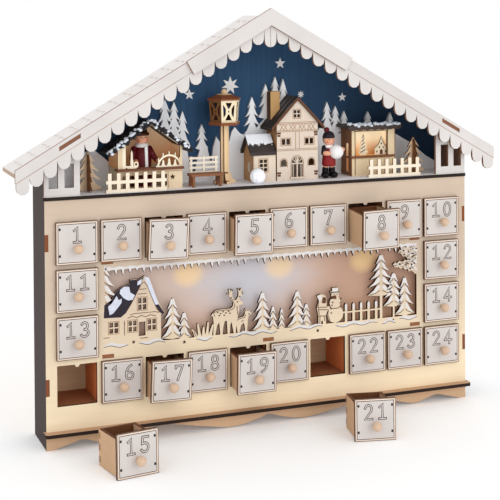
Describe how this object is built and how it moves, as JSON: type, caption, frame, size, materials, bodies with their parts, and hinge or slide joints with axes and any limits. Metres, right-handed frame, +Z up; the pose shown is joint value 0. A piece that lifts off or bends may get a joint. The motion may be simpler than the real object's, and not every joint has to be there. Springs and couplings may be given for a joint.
{
  "type": "advent calendar",
  "caption": "Wooden advent calendar: drawers round a lit fretwork window, with a small market village under an open gable roof.",
  "frame": {"origin": "The middle of the underside of the box round the whole object as pictured, with the two loose drawers on the table in front.", "axes": "+X to the right along the roof, +Y from the front to the back, +Z up."},
  "size_m": [0.4516, 0.1456, 0.369],
  "materials": {
    "birch": "clear-sealed birch plywood",
    "white_wood": "white-washed birch plywood with natural edges",
    "grey_wood": "dark stained plywood",
    "sky_blue": "plywood painted night blue inside",
    "snow_white": "plywood painted white",
    "brown_wood": "stained wood",
    "frosted": "frosted sheet",
    "led_white": "clear lamps on a white strip",
    "case_black": "moulded, fine texture",
    "coat_red": "turned wood, painted"
  },
  "bodies": {
    "cabinet": {"front_panel": "birch", "side_board_left": "grey_wood", "side_board_right": "grey_wood", "back_board": "sky_blue", "stage_floor": "birch", "bottom_ledge": "birch", "plinth_apron": "birch", "rack_upper": "birch", "rack_lower": "birch", "light_diffuser": "frosted", "lamp_strip": "led_white", "battery_case": "case_black", "roof_panel_left": "white_wood", "roof_panel_right": "white_wood", "fascia_centre": "white_wood", "fascia_left": "white_wood", "fascia_right": "white_wood", "scallop_trim_left": "white_wood", "scallop_trim_right": "white_wood", "window_post_left": "white_wood", "window_post_right": "white_wood", "snow_hills": "snow_white", "gabled_stall": "birch", "stall_keeper": "coat_red", "flat_roofed_stall": "birch", "street_lantern": "birch", "bench": "brown_wood", "house": "birch", "house_annex": "birch", "snowball_child": "coat_red", "crossed_tree_left": "birch", "crossed_tree_right": "birch", "fence_left": "birch", "fence_right": "birch"},
    "drawer_01": {"drawer_01": "white_wood"},
    "drawer_02": {"drawer_02": "white_wood"},
    "drawer_03": {"drawer_03": "white_wood"},
    "drawer_04": {"drawer_04": "white_wood"},
    "drawer_05": {"drawer_05": "white_wood"},
    "drawer_06": {"drawer_06": "white_wood"},
    "drawer_07": {"drawer_07": "white_wood"},
    "drawer_08": {"drawer_08": "white_wood"},
    "drawer_09": {"drawer_09": "white_wood"},
    "drawer_10": {"drawer_10": "white_wood"},
    "drawer_11": {"drawer_11": "white_wood"},
    "drawer_12": {"drawer_12": "white_wood"},
    "drawer_13": {"drawer_13": "white_wood"},
    "drawer_14": {"drawer_14": "white_wood"},
    "drawer_15": {"drawer_15": "white_wood"},
    "drawer_16": {"drawer_16": "white_wood"},
    "drawer_17": {"drawer_17": "white_wood"},
    "drawer_18": {"drawer_18": "white_wood"},
    "drawer_19": {"drawer_19": "white_wood"},
    "drawer_20": {"drawer_20": "white_wood"},
    "drawer_21": {"drawer_21": "white_wood"},
    "drawer_22": {"drawer_22": "white_wood"},
    "drawer_23": {"drawer_23": "white_wood"},
    "drawer_24": {"drawer_24": "white_wood"},
    "battery_cover": {"battery_cover": "case_black"},
    "power_switch": {"power_switch": "case_black"}
  },
  "joints": [
    {"name": "drawer_01_slide", "type": "slide", "parent": "cabinet", "child": "drawer_01", "axis": [0, -1, 0], "range_m": [0, 0.038]},
    {"name": "drawer_02_slide", "type": "slide", "parent": "cabinet", "child": "drawer_02", "axis": [0, -1, 0], "range_m": [0, 0.038]},
    {"name": "drawer_03_slide", "type": "slide", "parent": "cabinet", "child": "drawer_03", "axis": [0, -0.9969, -0.0785], "range_m": [-0.009, 0.029]},
    {"name": "drawer_04_slide", "type": "slide", "parent": "cabinet", "child": "drawer_04", "axis": [0, -1, 0], "range_m": [0, 0.038]},
    {"name": "drawer_05_slide", "type": "slide", "parent": "cabinet", "child": "drawer_05", "axis": [0, -0.9986, -0.0523], "range_m": [-0.013, 0.025]},
    {"name": "drawer_06_slide", "type": "slide", "parent": "cabinet", "child": "drawer_06", "axis": [0, -1, 0], "range_m": [0, 0.038]},
    {"name": "drawer_07_slide", "type": "slide", "parent": "cabinet", "child": "drawer_07", "axis": [0, -1, 0], "range_m": [0, 0.038]},
    {"name": "drawer_08_slide", "type": "slide", "parent": "cabinet", "child": "drawer_08", "axis": [0, -0.9969, -0.0785], "range_m": [-0.029, 0.009]},
    {"name": "drawer_09_slide", "type": "slide", "parent": "cabinet", "child": "drawer_09", "axis": [0, -1, 0], "range_m": [0, 0.038]},
    {"name": "drawer_10_slide", "type": "slide", "parent": "cabinet", "child": "drawer_10", "axis": [0, -1, 0], "range_m": [0, 0.038]},
    {"name": "drawer_11_slide", "type": "slide", "parent": "cabinet", "child": "drawer_11", "axis": [0, -1, 0], "range_m": [0, 0.038]},
    {"name": "drawer_12_slide", "type": "slide", "parent": "cabinet", "child": "drawer_12", "axis": [0, -1, 0], "range_m": [0, 0.038]},
    {"name": "drawer_13_slide", "type": "slide", "parent": "cabinet", "child": "drawer_13", "axis": [0, -1, 0], "range_m": [0, 0.038]},
    {"name": "drawer_14_slide", "type": "slide", "parent": "cabinet", "child": "drawer_14", "axis": [0, -1, 0], "range_m": [0, 0.038]},
    {"name": "drawer_15_slide", "type": "slide", "parent": "cabinet", "child": "drawer_15", "axis": [-0.4595, 0.6593, 0.5952], "range_m": [0, 0.06082]},
    {"name": "drawer_16_slide", "type": "slide", "parent": "cabinet", "child": "drawer_16", "axis": [0, -1, 0], "range_m": [0, 0.038]},
    {"name": "drawer_17_slide", "type": "slide", "parent": "cabinet", "child": "drawer_17", "axis": [0, -0.999, -0.0436], "range_m": [-0.015, 0.023]},
    {"name": "drawer_18_slide", "type": "slide", "parent": "cabinet", "child": "drawer_18", "axis": [0, -1, 0], "range_m": [0, 0.038]},
    {"name": "drawer_19_slide", "type": "slide", "parent": "cabinet", "child": "drawer_19", "axis": [0, -0.9986, -0.0523], "range_m": [-0.018, 0.02]},
    {"name": "drawer_20_slide", "type": "slide", "parent": "cabinet", "child": "drawer_20", "axis": [0, -1, 0], "range_m": [0, 0.038]},
    {"name": "drawer_21_slide", "type": "slide", "parent": "cabinet", "child": "drawer_21", "axis": [-0.2637, 0.6081, 0.7488], "range_m": [0, 0.04835]},
    {"name": "drawer_22_slide", "type": "slide", "parent": "cabinet", "child": "drawer_22", "axis": [0, -1, 0], "range_m": [0, 0.038]},
    {"name": "drawer_23_slide", "type": "slide", "parent": "cabinet", "child": "drawer_23", "axis": [0, -1, 0], "range_m": [0, 0.038]},
    {"name": "drawer_24_slide", "type": "slide", "parent": "cabinet", "child": "drawer_24", "axis": [0, -1, 0], "range_m": [0, 0.038]},
    {"name": "battery_cover_slide", "type": "slide", "parent": "cabinet", "child": "battery_cover", "axis": [0, 1, 0], "range_m": [0, 0.02]},
    {"name": "power_switch_slide", "type": "slide", "parent": "cabinet", "child": "power_switch", "axis": [1, 0, 0], "range_m": [0, 0.004]}
  ]
}
